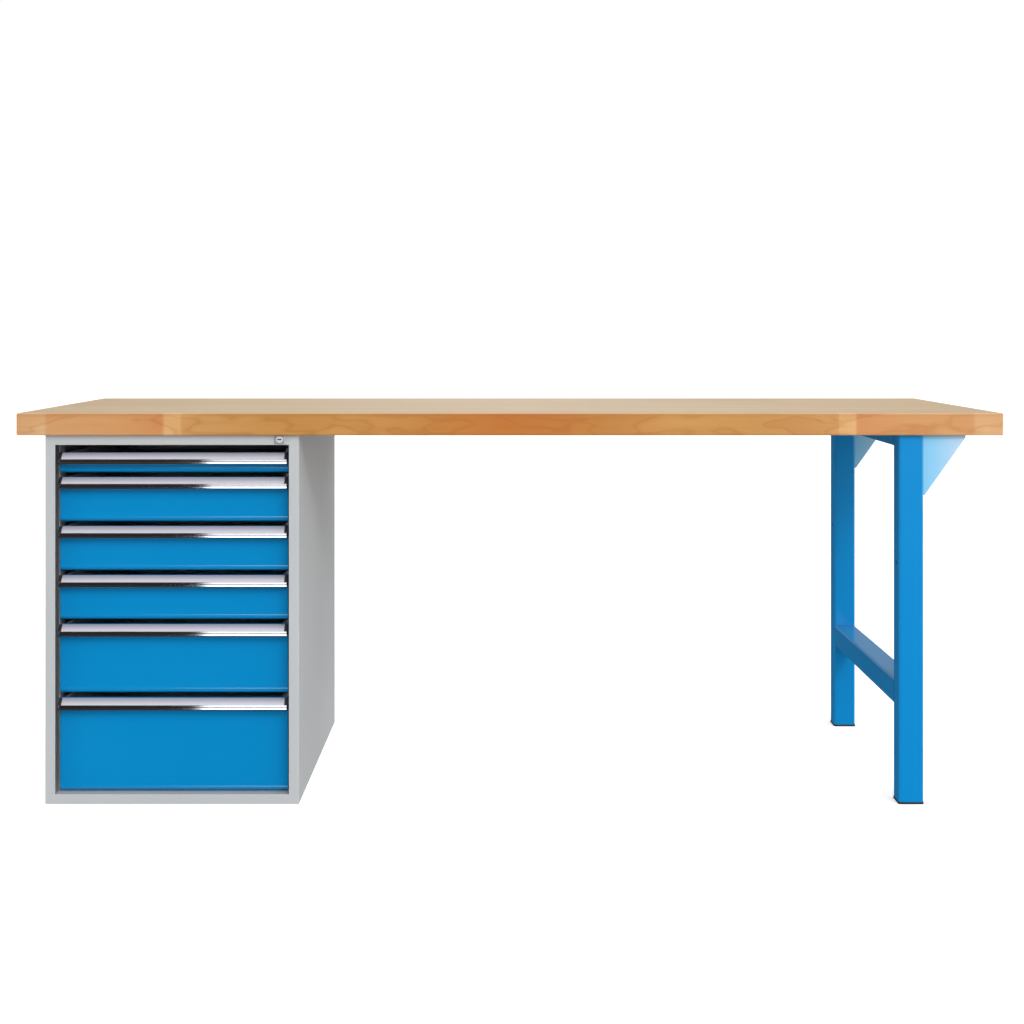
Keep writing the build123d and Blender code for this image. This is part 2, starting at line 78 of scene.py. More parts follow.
def displayed(red, green, blue):
    # display values from 0 to 255, as the linear numbers a shader uses
    shares = [value / 255 for value in (red, green, blue)]
    linear = [share / 12.92 if share < 0.04 else ((share + 0.055) / 1.055) ** 2.4 for share in shares]
    return (*linear, 1.0)


def scaled(colour, factor):
    return (*[min(1.0, value * factor) for value in colour[:3]], 1.0)


def arithmetic(operation, swapped=False):
    def apply(self, other):
        pair = (other, self) if swapped else (self, other)
        return self.sheet.add("ShaderNodeMath", {"operation": operation}, {0: pair[0], 1: pair[1]})
    return apply


class Wire:  # one output socket, on which sums are written as in Python
    def __init__(self, sheet, socket):
        self.sheet = sheet
        self.socket = socket

    __add__ = arithmetic("ADD")
    __radd__ = arithmetic("ADD", True)
    __sub__ = arithmetic("SUBTRACT")
    __rsub__ = arithmetic("SUBTRACT", True)
    __mul__ = arithmetic("MULTIPLY")
    __rmul__ = arithmetic("MULTIPLY", True)
    __truediv__ = arithmetic("DIVIDE")
    __pow__ = arithmetic("POWER")
    __gt__ = arithmetic("GREATER_THAN")
    __lt__ = arithmetic("LESS_THAN")
    smaller = arithmetic("MINIMUM")
    larger = arithmetic("MAXIMUM")

    def __abs__(self):
        return self.math("ABSOLUTE")

    def math(self, operation):
        return self.sheet.add("ShaderNodeMath", {"operation": operation}, {0: self})

    def between(self, low, high):  # 0 at low, 1 at high, smooth in between
        return self.sheet.add("ShaderNodeMapRange", {"interpolation_type": "SMOOTHSTEP"},
                              {0: self, 1: low, 2: high})


class NodeSheet:  # a node tree that nodes are added to
    def __init__(self, tree):
        self.tree = tree

    def add(self, kind, settings=None, sockets=None, output=0):
        node = self.tree.nodes.new(kind)
        for key, value in (settings or {}).items():
            if key == "stops":
                self.setStops(node.color_ramp, value)
            else:
                setattr(node, key, value)
        for key, value in (sockets or {}).items():
            if isinstance(value, Wire):
                self.tree.links.new(value.socket, node.inputs[key])
            else:
                node.inputs[key].default_value = value
        if isinstance(output, tuple):
            return [Wire(self, node.outputs[name]) for name in output]
        return Wire(self, node.outputs[output]) if len(node.outputs) else None

    def setStops(self, ramp, stops):
        ramp.elements[0].position, ramp.elements[0].color = stops[0]
        ramp.elements[1].position, ramp.elements[1].color = stops[-1]
        for place, colour in stops[1:-1]:
            ramp.elements.new(place).color = colour

    def mix(self, factor, low, high, blend="MIX"):
        return self.add("ShaderNodeMix", {"data_type": "RGBA", "blend_type": blend},
                        {0: factor, 6: low, 7: high}, 2)

    def ramp(self, value, stops):
        return self.add("ShaderNodeValToRGB", {"stops": stops}, {0: value})


class Finish(NodeSheet):  # a material with one shader; places are the object's own
    def __init__(self, name, constants):
        self.material = bpy.data.materials.new(name)
        self.material.use_nodes = True
        super().__init__(self.material.node_tree)
        self.shader = self.tree.nodes["Principled BSDF"]
        for key, value in constants.items():
            self.shader.inputs[key].default_value = value
        self.place = self.add("ShaderNodeTexCoord", output="Object")

    def axes(self):
        return self.add("ShaderNodeSeparateXYZ", {}, {0: self.place}, ("X", "Y", "Z"))

    def noise(self, stretch, detail=2.0, roughness=0.5, shift=None):
        vector = self.add("ShaderNodeVectorMath", {"operation": "MULTIPLY"}, {0: self.place, 1: stretch})
        if shift is not None:
            vector = self.add("ShaderNodeVectorMath", {"operation": "ADD"}, {0: vector, 1: shift})
        return self.add("ShaderNodeTexNoise", {},
                        {"Vector": vector, "Scale": 1.0, "Detail": detail, "Roughness": roughness})

    def feed(self, **wires):
        for key, wire in wires.items():
            self.tree.links.new(wire.socket, self.shader.inputs[key.replace("_", " ")])

    def bump(self, height, strength, distance):
        self.feed(Normal=self.add("ShaderNodeBump", {}, {"Strength": strength, "Distance": distance,
                                                         "Height": height}, "Normal"))


powderCoat = {
    "peelSize": 380.0,      # waves per metre
    "peelHeight": 0.00012,
    "peelStrength": 0.35,
    "speckSize": 1400.0,
    "cloudSize": 2.2,
    "drift": 0.07,          # lightness change over the large faces
}


def powderCoated(name, colour, roughness, gloss=0.5):
    paint = Finish(name, {"IOR": 1.5, "Specular IOR Level": gloss})
    base = displayed(*colour)
    cloud = paint.noise((powderCoat["cloudSize"],) * 3, 3.0, 0.55)
    peel = paint.noise((powderCoat["peelSize"],) * 3, 2.0, 0.5)
    speck = paint.noise((powderCoat["speckSize"],) * 3, 1.0, 0.5)
    dark, light = scaled(base, 1 - powderCoat["drift"]), scaled(base, 1 + powderCoat["drift"])
    paint.feed(Base_Color=paint.mix(cloud, dark, light),
               Roughness=speck * 0.08 + cloud * 0.08 + (roughness - 0.08))
    paint.bump(peel + speck * 0.3, powderCoat["peelStrength"], powderCoat["peelHeight"])
    return paint


frontPaint = powderCoated("drawerFrontBlue", (0, 126, 185), 0.13)
framePaint = powderCoated("frameBlue", (0, 123, 185), 0.22, 0.3)
cabinetPaint = powderCoated("cabinetLightGrey", (174, 177, 179), 0.42)
boxPaint = powderCoated("drawerBoxGrey", (184, 187, 188), 0.44)

# the gussets' pale blue is a painted sheen standing in for reflected light, paler from the leg out to the tip
gussetSheenTone = {"leg": (108, 178, 214), "tip": (166, 192, 218), "cloudSize": 9.0, "roughness": 0.34}


def gussetWithPaintedSheen():
    low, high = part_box("leg_gussets")
    paint = Finish("gussetPaleBlue", {"IOR": 1.5})
    # painted sheen: the blue grows paler from the leg out to the tip
    sheenFromLeg = paint.axes()[0].between(low.x, high.x)
    cloud = paint.noise((gussetSheenTone["cloudSize"],) * 3, 3.0, 0.55)
    peel = paint.noise((powderCoat["peelSize"],) * 3, 2.0, 0.5)
    tone = paint.mix(sheenFromLeg * 0.85 + cloud * 0.15,
                     displayed(*gussetSheenTone["leg"]), displayed(*gussetSheenTone["tip"]))
    paint.feed(Base_Color=tone, Roughness=cloud * 0.12 + gussetSheenTone["roughness"])
    paint.bump(peel, powderCoat["peelStrength"], powderCoat["peelHeight"])
    return paint


gussetSheenPaint = gussetWithPaintedSheen()

brushed = {  # lines are per metre along X, Y and Z
    "handleAluminium": {"colour": (232, 235, 240), "roughness": 0.035,
                        "lines": (6.0, 2600.0, 2600.0), "depth": 0.000004},
    "slideZinc": {"colour": (186, 189, 190), "roughness": 0.34,
                  "lines": (900.0, 12.0, 900.0), "depth": 0.00003},
    "screwZinc": {"colour": (178, 180, 184), "roughness": 0.36,
                  "lines": (900.0, 900.0, 900.0), "depth": 0.00003},
}


def brushedMetal(name):
    look = brushed[name]
    metal = Finish(name, {"Metallic": 1.0, "IOR": 1.5})
    lines = metal.noise(look["lines"], 3.0, 0.6)
    cloud = metal.noise((14.0, 14.0, 14.0), 2.0, 0.5)
    base = displayed(*look["colour"])
    metal.feed(Base_Color=metal.mix(lines * 0.7 + cloud * 0.3, scaled(base, 0.9), base),
               Roughness=(lines * 0.8 + cloud * 0.4 + 0.4) * look["roughness"])
    metal.bump(lines, 0.3, look["depth"])
    return metal


handleMetal = brushedMetal("handleAluminium")
slideZinc = brushedMetal("slideZinc")
screwZinc = brushedMetal("screwZinc")

barPlate = {"spangles": 160.0, "dark": (92, 94, 98), "light": (116, 118, 122)}


def zincPlate():
    plate = Finish("lockBarZinc", {"Metallic": 1.0})
    spangle = plate.add("ShaderNodeTexVoronoi", {"feature": "F1"},
                        {"Vector": plate.place, "Scale": barPlate["spangles"]}, "Color")
    grey = plate.add("ShaderNodeSeparateXYZ", {}, {0: spangle}, "X")
    plate.feed(Base_Color=plate.mix(grey, displayed(*barPlate["dark"]), displayed(*barPlate["light"])),
               Roughness=grey * 0.2 + 0.4)
    plate.bump(grey, 0.2, 0.00002)
    return plate


barZinc = zincPlate()

lockNickel = {
    "cylinder": ((204, 202, 208), (226, 224, 228)),
    "housing": ((146, 145, 149), (170, 169, 173)),
    "slotPaintedShade": (20, 20, 22),       # painted shade inside the key's slot, which is cut into the cylinder's face
    "slotDepths": (0.0003, 0.0012),
}


def nickelPlated(name, dull, bright):
    nickel = Finish(name, {"Metallic": 0.4, "IOR": 1.5})
    turn = nickel.noise((700.0, 40.0, 700.0), 3.0, 0.6)
    tone = nickel.mix(turn, displayed(*dull), displayed(*bright))
    nickel.feed(Base_Color=tone, Roughness=turn * 0.16 + 0.2)
    nickel.bump(turn, 0.2, 0.00002)
    return nickel, tone


def keyCylinder():
    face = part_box("lock_cylinder")[0].y
    shallow, deep = lockNickel["slotDepths"]
    nickel, tone = nickelPlated("lockCylinderNickel", *lockNickel["cylinder"])
    # painted shade: the slot darkens with depth behind the cylinder's face
    inside = nickel.axes()[1].between(face + shallow, face + deep)
    nickel.feed(Base_Color=nickel.mix(inside, tone, displayed(*lockNickel["slotPaintedShade"])))
    return nickel


cylinderNickel = keyCylinder()
housingNickel = nickelPlated("lockHousingNickel", *lockNickel["housing"])[0]


def mouldedBlack(name, colour, roughness):
    plastic = Finish(name, {"IOR": 1.46})
    grain = plastic.noise((1600.0, 1600.0, 1600.0), 2.0, 0.6)
    scuff = plastic.noise((60.0, 60.0, 60.0), 4.0, 0.6)
    lighter = tuple(value + 14 for value in colour)
    plastic.feed(Base_Color=plastic.mix(scuff, displayed(*colour), displayed(*lighter)),
                 Roughness=scuff * 0.2 + grain * 0.1 + (roughness - 0.12))
    plastic.bump(grain, 0.4, 0.00008)
    return plastic


capPlastic = mouldedBlack("capBlack", (24, 24, 28), 0.42)
footPlastic = mouldedBlack("footBlack", (22, 22, 24), 0.55)

# painted shade and highlight on the label: darker at the top, lighter at the bottom, with a bright band along
# the lower edge
labelCardPaintedLight = {"top": (140, 143, 160), "bottom": (200, 196, 203), "edge": (216, 218, 216)}


def cardUnderFilm():
    card = Finish("labelStrip", {"IOR": 1.5, "Coat Weight": 0.6, "Coat Roughness": 0.08})
    uv = card.add("ShaderNodeUVMap", {"uv_map": "strip"})
    along, across = card.add("ShaderNodeSeparateXYZ", {}, {0: uv}, ("X", "Y"))
    fibre = card.noise((90.0, 500.0, 500.0), 4.0, 0.6)
    # painted shade down the strip, then a painted highlight along its lower edge
    tone = card.mix(across.between(0.0, 0.9), displayed(*labelCardPaintedLight["top"]), displayed(*labelCardPaintedLight["bottom"]))
    tone = card.mix(across.between(0.9, 0.97), tone, displayed(*labelCardPaintedLight["edge"]))
    tone = card.mix(fibre * 0.12, tone, displayed(120, 122, 128))
    card.feed(Base_Color=tone, Roughness=fibre * 0.16 + 0.3)
    card.bump(fibre, 0.15, 0.00004)
    return card


labelFinish = cardUnderFilm()

beech = {
    "staves": 16,           # across the worktop's depth
    "staveLength": 0.46,
    "jointWidth": 0.0004,
    "pale": (208, 166, 114),
    "mid": (197, 150, 96),
    "deep": (180, 126, 68),
    # painted sheen on the top face, from the middle of the bench to either end
    "topSheen": [(0.0, (212, 200, 174)), (0.4, (204, 190, 162)), (1.0, (188, 170, 138))],
    "topSheenDepth": 0.0008,
    "lighten": (1.07, 1.16, 1.36, 1.0),  # what glow and shade multiply the tone by
    "darken": (0.8, 0.68, 0.52, 1.0),
    "rings": 95.0,          # growth rings through one stave's figure
    "flameEdge": 0.47,
    "edgeShadeBand": (0.011, 0.002),  # painted shade: the darker band of the front stave, down from the top face
    # front stave, from the middle of the bench to either end
    "frontTones": [
        (0.0, (184, 112, 32)), (0.1, (184, 118, 40)), (0.2, (184, 126, 54)), (0.34, (188, 136, 68)),
        (0.5, (184, 132, 64)), (0.62, (190, 140, 78)), (0.664, (196, 148, 90)), (0.668, (208, 164, 108)),
        (0.7, (208, 162, 108)), (0.704, (194, 132, 76)), (0.8, (196, 142, 86)), (0.938, (198, 148, 96)),
        (0.943, (206, 164, 118)), (1.0, (204, 160, 114)),
    ],
}


def displayedStops(stops):
    return [(place, displayed(*colour)) for place, colour in stops]


def beechWorktop():
    low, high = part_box("worktop")
    wood = Finish("beechWorktop", {"IOR": 1.45, "Coat Roughness": 0.3})
    x, y, z = wood.axes()
    staveWidth = (high.y - low.y) / beech["staves"]
    across = (y - low.y) / staveWidth
    row = across.math("FLOOR").larger(0.0).smaller(beech["staves"] - 1.0)
    rowChance = wood.add("ShaderNodeTexWhiteNoise", {"noise_dimensions": "1D"}, {"W": row}, "Value")
    along = x / beech["staveLength"] + rowChance * 7.0
    cell = wood.add("ShaderNodeCombineXYZ", {}, {0: row, 1: along.math("FLOOR"), 2: 3.0})
    chance = wood.add("ShaderNodeTexWhiteNoise", {"noise_dimensions": "3D"}, {"Vector": cell}, "Value")
    frontRow = row < 0.5
    outward = abs(x) / high.x

    jump = wood.add("ShaderNodeCombineXYZ", {}, {0: chance * 31.0, 1: chance * 17.0, 2: chance * 23.0})
    figure = wood.noise((1.5, 15.0, 15.0), 1.0, 0.4, jump)
    contour = (figure * beech["rings"]).math("SINE") * 0.5 + 0.5
    flame = wood.noise((8.0, 28.0, 28.0), 1.5, 0.45, (3.7, 1.4, 0.6))
    oval = flame.between(beech["flameEdge"], beech["flameEdge"] + 0.09)
    rim = 1.0 - abs(flame - beech["flameEdge"]).between(0.004, 0.035)
    paintedEdgeShade = z.between(*[high.z - depth for depth in beech["edgeShadeBand"]])
    streak = wood.noise((3.0, 130.0, 130.0), 5.0, 0.62, jump)
    pore = wood.noise((70.0, 1500.0, 1500.0), 2.0, 0.5)
    flecks = (pore - 0.62).larger(0.0) * 2.4
    blush = wood.noise((2.4, 3.0, 3.0), 2.0, 0.5)

    randomTone = wood.ramp(chance, displayedStops([(0.0, beech["deep"]), (0.35, beech["mid"]),
                                                   (0.75, beech["mid"]), (1.0, beech["pale"])]))
    frontTone = wood.ramp(outward, displayedStops(beech["frontTones"]))
    tone = wood.mix(frontRow, randomTone, frontTone)
    shade = streak.between(0.35, 0.75) * 0.24 + contour ** 3.0 * (0.26 - frontRow * 0.2) + flecks * 0.3
    # painted shade along the front stave's top edge, with the flame figure's darker rims
    shade = shade + frontRow * ((rim * 0.36).larger(paintedEdgeShade * 0.44))
    glow = blush.between(0.4, 0.75) * 0.5 + frontRow * oval * outward.between(0.08, 0.26) * 0.8
    tone = wood.mix(glow, tone, beech["lighten"], "MULTIPLY")
    tone = wood.mix(shade, tone, beech["darken"], "MULTIPLY")
    # painted sheen: the top face is pulled toward a pale, whitish beige
    topSheenTone = wood.ramp(outward, displayedStops(beech["topSheen"]))
    tone = wood.mix((z > high.z - beech["topSheenDepth"]) * (0.56 + blush * 0.2), tone, topSheenTone)

    acrossPart = across.math("FRACT")
    sideJoint = acrossPart.smaller(1.0 - acrossPart) < beech["jointWidth"] / staveWidth
    alongPart = along.math("FRACT")
    endJoint = alongPart.smaller(1.0 - alongPart) < beech["jointWidth"] / beech["staveLength"]
    joint = sideJoint.larger(endJoint * (1.0 - frontRow))  # the front stave has no end joints
    tone = wood.mix(joint * 0.6, tone, beech["darken"], "MULTIPLY")
    wood.feed(Base_Color=tone, Roughness=streak * 0.16 + blush * 0.1 + 0.3)
    wood.bump(streak * 0.5 + contour * 0.2 - flecks * 0.5 - joint * 0.8, 0.3, 0.0003)
    return wood


woodFinish = beechWorktop()

cadFinishes = {
    "worktop": woodFinish,
    "cabinet_slides": slideZinc,
    "lock_housing": housingNickel, "lock_cylinder": cylinderNickel, "lock_bar": barZinc,
    "leg_front": framePaint, "leg_back": framePaint, "leg_top_bar": framePaint, "leg_stretcher": framePaint,
    "leg_gussets": gussetSheenPaint, "leg_feet": footPlastic,
}
nodeKinds = [("_box", boxPaint), ("_slide_inner", slideZinc), ("_slide_middle", slideZinc)]


def finishFor(node):
    for ending, finish in nodeKinds:
        if node.endswith(ending):
            return finish
    return cadFinishes.get(node, cabinetPaint)


for nodeName, nodeObject in frame["nodes"].items():
    if not nodeObject.material_slots:
        nodeObject.data.materials.append(None)
    for materialSlot in nodeObject.material_slots:
        materialSlot.material = finishFor(nodeName).material
print("finishes made and put on the CAD nodes")


def addPiece(name, mesh, finish, body, slotName, *replaced):
    mesh.name = name
    mesh.materials.clear()
    mesh.materials.append(finish.material)
    piece = bpy.data.objects.new(name, mesh)
    scene.collection.objects.link(piece)
    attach(piece, body)
    if replaced:
        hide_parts(*replaced)
    return piece


def baked(mesh, modifiers=()):
    # a plain mesh with smooth faces and flat shading kept on the wide ones
    holder = bpy.data.objects.new("holder", mesh)
    scene.collection.objects.link(holder)
    for kind, settings in modifiers:
        modifier = holder.modifiers.new(kind, kind)
        for key, value in settings.items():
            setattr(modifier, key, value)
    mesh.shade_smooth()
    mesh.set_sharp_from_angle(angle=math.radians(50))
    weighted = holder.modifiers.new("normals", "WEIGHTED_NORMAL")
    weighted.keep_sharp = True
    result = bpy.data.meshes.new_from_object(holder.evaluated_get(bpy.context.evaluated_depsgraph_get()))
    bpy.data.objects.remove(holder)
    return result


def roundedOutline(corners, steps=5):
    # corners are (across, up, radius); an arc takes the place of each corner that has a radius
    points = []
    for index, (across, up, *rest) in enumerate(corners):
        here, radius = Vector((across, up)), sum(rest)
        before = Vector(corners[index - 1][:2]) - here
        after = Vector(corners[(index + 1) % len(corners)][:2]) - here
        half = before.angle(after) / 2
        if radius == 0 or abs(math.pi / 2 - half) < 0.01:
            points.append(here)
            continue
        reach = radius / math.tan(half)
        start, end = here + before.normalized() * reach, here + after.normalized() * reach
        centre = here + (before.normalized() + after.normalized()).normalized() * (radius / math.sin(half))
        first = math.atan2(start.y - centre.y, start.x - centre.x)
        sweep = math.atan2(end.y - centre.y, end.x - centre.x) - first
        sweep = (sweep + math.pi) % (2 * math.pi) - math.pi
        for step in range(steps + 1):
            turn = first + sweep * step / steps
            points.append(centre + Vector((math.cos(turn), math.sin(turn))) * radius)
    return points


def sweptMesh(outline, left, right, faceY, topZ, rim=0.0, uvName=None):
    # the outline, in metres back from faceY and up from topZ, drawn out from left to right
    shape = bmesh.new()
    rings = []
    for x in (left, right):
        rings.append([shape.verts.new((x, faceY + point.x, topZ + point.y)) for point in outline])
    count = len(outline)
    for index in range(count):
        following = (index + 1) % count
        shape.faces.new((rings[0][index], rings[1][index], rings[1][following], rings[0][following]))
    ends = [shape.faces.new(rings[0]), shape.faces.new(list(reversed(rings[1])))]
    bmesh.ops.recalc_face_normals(shape, faces=shape.faces)
    if rim:
        edges = list({edge for end in ends for edge in end.edges})
        bmesh.ops.bevel(shape, geom=edges, offset=rim, offset_type="OFFSET", segments=2, profile=0.5,
                        affect="EDGES", clamp_overlap=True)
    if uvName:
        layer = shape.loops.layers.uv.new(uvName)
        heights = [vert.co.z for vert in shape.verts]
        top, bottom = max(heights), min(heights)
        for face in shape.faces:
            for loop in face.loops:
                place = loop.vert.co
                loop[layer].uv = ((place.x - left) / (right - left), (top - place.z) / (top - bottom))
    mesh = bpy.data.meshes.new("swept")
    shape.to_mesh(mesh)
    shape.free()
    return mesh


def joined(meshes):
    shape = bmesh.new()
    for mesh in meshes:
        shape.from_mesh(mesh)
    mesh = bpy.data.meshes.new("joined")
    shape.to_mesh(mesh)
    shape.free()
    return mesh


def islandBoxes(nodeName):
    # the boxes of a CAD node's separate solids, from a merged copy
    shape = bmesh.new()
    shape.from_mesh(frame["nodes"][nodeName].data)
    bmesh.ops.remove_doubles(shape, verts=shape.verts, dist=0.000005)
    waiting = set(shape.verts)
    boxes = []
    while waiting:
        group, reached = [], [waiting.pop()]
        while reached:
            vert = reached.pop()
            group.append(vert.co.copy())
            for link in vert.link_edges:
                other = link.other_vert(vert)
                if other in waiting:
                    waiting.remove(other)
                    reached.append(other)
        low = Vector([min(point[axis] for point in group) for axis in range(3)])
        high = Vector([max(point[axis] for point in group) for axis in range(3)])
        boxes.append((low, high))
    shape.free()
    return sorted(boxes, key=lambda pair: tuple(round(value, 5) for value in pair[0]))


# a drawer's front is one sheet folded back on all four sides, with a wide bend at the bottom
frontFold = {
    "sheet": 0.0012, "bend": 0.0085, "edge": 0.0015,
    "crestSet": 0.0005, "crestRise": 0.0022, "crestSteps": 5,  # how the face steps back above the bend
}


def foldedFront(low, high):
    shape = bmesh.new()
    bmesh.ops.create_cube(shape, size=1.0)
    size, middle = high - low, (high + low) / 2
    for vert in shape.verts:
        vert.co = Vector([vert.co[axis] * size[axis] + middle[axis] for axis in range(3)])
    rear = max(shape.faces, key=lambda face: face.calc_center_median().y)
    bmesh.ops.delete(shape, geom=[rear], context="FACES_ONLY")

    def centre(edge):
        return (edge.verts[0].co + edge.verts[1].co) / 2

    bendEdge = min(shape.edges, key=lambda edge: (round(centre(edge).y, 6), centre(edge).z))
    bmesh.ops.bevel(shape, geom=[bendEdge], offset=frontFold["bend"], offset_type="OFFSET", segments=12,
                    profile=0.5, affect="EDGES", clamp_overlap=True)
    shape.normal_update()
    rim = []
    for edge in shape.edges:
        if len(edge.link_faces) == 2:
            sideways = [abs(face.normal.x) > 0.9 for face in edge.link_faces]
            topFront = centre(edge).z > high.z - 0.00001 and centre(edge).y < low.y + 0.00001
            if any(sideways) or topFront:
                rim.append(edge)
    bmesh.ops.bevel(shape, geom=rim, offset=frontFold["edge"], offset_type="OFFSET", segments=4,
                    profile=0.5, affect="EDGES", clamp_overlap=True)
    # the bend swells a little, so the face above it stands back
    crest = low.z + frontFold["bend"]
    for step in range(frontFold["crestSteps"] + 1):
        height = crest + frontFold["crestRise"] * step / frontFold["crestSteps"]
        bmesh.ops.bisect_plane(shape, geom=shape.verts[:] + shape.edges[:] + shape.faces[:], dist=0.000001,
                               plane_co=(0.0, 0.0, height), plane_no=(0.0, 0.0, 1.0))
    for vert in shape.verts:
        rise = min(1.0, max(0.0, (vert.co.z - crest) / frontFold["crestRise"]))
        nearFront = max(0.0, 1.0 - (vert.co.y - low.y) / frontFold["edge"])
        vert.co.y += frontFold["crestSet"] * (1 - math.cos(rise * math.pi)) / 2 * nearFront
    bmesh.ops.recalc_face_normals(shape, faces=shape.faces)
    mesh = bpy.data.meshes.new("front")
    shape.to_mesh(mesh)
    shape.free()
    lean = sum(polygon.normal.y * polygon.area for polygon in mesh.polygons)
    if lean > 0:  # the open shell has to face forwards, along -Y
        mesh.flip_normals()
    wall = {"thickness": frontFold["sheet"], "offset": -1.0, "use_even_offset": True}
    return baked(mesh, [("SOLIDIFY", wall)])


# a handle is a sloped strip for the label, with a hollow behind it for the fingers and a round nose below
handleForm = {
    "wall": 0.002, "topFlat": 0.003, "reach": 0.0185, "drop": 0.0153, "height": 0.024, "capWall": 0.0012,
    "neck": 0.0035, "noseSet": 0.001, "noseHeight": 0.006, "noseRound": 0.004,
    "ridgeWidth": 0.0015, "ridgeHeight": 0.0014, "endGap": 0.0015, "capLength": 0.005,
    "labelThickness": 0.0008, "labelGap": 0.0002, "capRim": 0.0003,
}
form = handleForm
slopeTop = Vector((-form["topFlat"], -form["capWall"]))
slopeFoot = Vector((-form["reach"], -form["drop"]))
slopeLength = (slopeFoot - slopeTop).length
slopeAlong = (slopeFoot - slopeTop).normalized()
slopeOut = Vector((slopeAlong.y, -slopeAlong.x))
ridgeStart = slopeLength - form["ridgeWidth"]


def onSlope(distance, height, radius=0.0):
    point = slopeTop + slopeAlong * distance + slopeOut * height
    return (point.x, point.y, radius)


def underSlope(across):
    # height of the sloped strip's lower face at this distance back from the front's face
    start = slopeTop - slopeOut * form["wall"]
    return start.y + (across - start.x) * slopeAlong.y / slopeAlong.x


def handleOutline():
    neckFront = -form["reach"] + form["neck"]
    neckBack = neckFront + form["wall"]
    noseFront = -form["reach"] - form["noseSet"]
    noseTop = -form["height"] + form["noseHeight"]
    return roundedOutline([
        (0.0, -form["capWall"], 0.0002),
        (slopeTop.x, slopeTop.y, 0.001),
        onSlope(ridgeStart, 0.0),
        onSlope(ridgeStart, form["ridgeHeight"], 0.0004),
        onSlope(slopeLength, form["ridgeHeight"], 0.0006),
        onSlope(slopeLength, -form["wall"], 0.0006),
        (neckFront, underSlope(neckFront), 0.0006),
        (neckFront, noseTop, 0.0004),
        (noseFront, noseTop, form["noseRound"]),
        (noseFront, -form["height"], 0.0008),
        (neckBack, -form["height"], 0.0005),
        (neckBack, underSlope(neckBack), 0.001),
        (-form["wall"], -form["topFlat"], 0.0006),
        (-form["wall"], -form["height"], 0.0004),
        (0.0, -form["height"], 0.0002),
    ], 6)


def cheekOutline():
    return roundedOutline([
        (0.0, -form["capWall"], 0.0002),
        (slopeTop.x, slopeTop.y),
        onSlope(0.0, form["capWall"], 0.0005),
        onSlope(ridgeStart, form["capWall"]),
        onSlope(ridgeStart, form["ridgeHeight"]),
        onSlope(slopeLength, form["ridgeHeight"], 0.0006),
        (-form["reach"], -form["height"], 0.001),
        (0.0, -form["height"], 0.0002),
    ], 5)


def buildDrawer(drawer):
    low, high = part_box(drawer + "_front")
    addPiece(drawer + "_folded_front", foldedFront(low, high),
             frontPaint, drawer, "drawer_blue", drawer + "_front")

    handleLow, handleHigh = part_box(drawer + "_handle")
    left, right, faceY, topZ = handleLow.x, handleHigh.x, low.y, high.z + form["capWall"]
    addPiece(drawer + "_grip", baked(sweptMesh(handleOutline(), left, right, faceY, topZ)),
             handleMetal, drawer, "handle_aluminium", drawer + "_handle")

    gap, thick = form["labelGap"], form["labelThickness"]
    end = ridgeStart - gap
    strip = roundedOutline([onSlope(gap, 0.0), onSlope(gap, thick * 0.7, 0.0003), onSlope(end / 2, thick),
                            onSlope(end, thick * 0.7, 0.0003), onSlope(end, 0.0)], 3)
    inset = form["capLength"] + gap
    addPiece(drawer + "_label_strip",
             baked(sweptMesh(strip, left + inset, right - inset, faceY, topZ, uvName="strip")),
             labelFinish, drawer, "label_grey", drawer + "_label")

    cover = roundedOutline([onSlope(0.0, 0.0), onSlope(0.0, form["capWall"], 0.0006),
                            onSlope(ridgeStart, form["capWall"], 0.0006), onSlope(ridgeStart, 0.0)], 4)
    parts = []
    for side, inward in ((left, 1), (right, -1)):
        inner, outer = side + inward * form["capLength"], side - inward * form["endGap"]
        parts.append(sweptMesh(cover, *sorted((side, inner)), faceY, topZ, form["capRim"]))
        parts.append(sweptMesh(cheekOutline(), *sorted((side, outer)), faceY, topZ, form["capRim"]))
    addPiece(drawer + "_caps", baked(joined(parts)), capPlastic, drawer, "cap_black", drawer + "_end_caps")


for drawer in drawers:
    buildDrawer(drawer)
print("drawer fronts, grips, labels and caps built")


class NodeRow(NodeSheet):  # a geometry tree with named inputs
    def __init__(self, name, sizes):
        super().__init__(bpy.data.node_groups.new(name, "GeometryNodeTree"))
        self.tree.interface.new_socket(name="Places", in_out="INPUT", socket_type="NodeSocketGeometry")
        for size, value in sizes.items():
            kind = "NodeSocketInt" if isinstance(value, int) else "NodeSocketFloat"
            socket = self.tree.interface.new_socket(name=size, in_out="INPUT", socket_type=kind)
            socket.default_value = value
        self.tree.interface.new_socket(name="Geometry", in_out="OUTPUT", socket_type="NodeSocketGeometry")
        self.start = self.tree.nodes.new("NodeGroupInput")
        self.sizes = sizes

    def given(self, name):
        return Wire(self, self.start.outputs[name])

    def finish(self, geometry, finish):
        solid = self.add("GeometryNodeRealizeInstances", {}, {0: geometry})
        shaded = self.add("GeometryNodeSetMaterial", {}, {"Geometry": solid, "Material": finish.material})
        self.add("NodeGroupOutput", {}, {0: shaded})

    def vector(self, x=0.0, y=0.0, z=0.0):
        return self.add("ShaderNodeCombineXYZ", {}, {0: x, 1: y, 2: z})

    def cylinder(self, sides, radius, depth):
        return self.add("GeometryNodeMeshCylinder", {}, {"Vertices": sides, "Radius": radius, "Depth": depth})

    def moved(self, geometry, place):
        return self.add("GeometryNodeTransform", {}, {"Geometry": geometry, "Translation": place})

    def onPoints(self, points, piece, scale=(1.0, 1.0, 1.0)):
        return self.add("GeometryNodeInstanceOnPoints", {},
                        {"Points": points, "Instance": piece, "Scale": scale})

    def together(self, *parts):
        joinNode = self.tree.nodes.new("GeometryNodeJoinGeometry")
        for part in reversed(parts):
            self.tree.links.new(part.socket, joinNode.inputs[0])
        return Wire(self, joinNode.outputs[0])


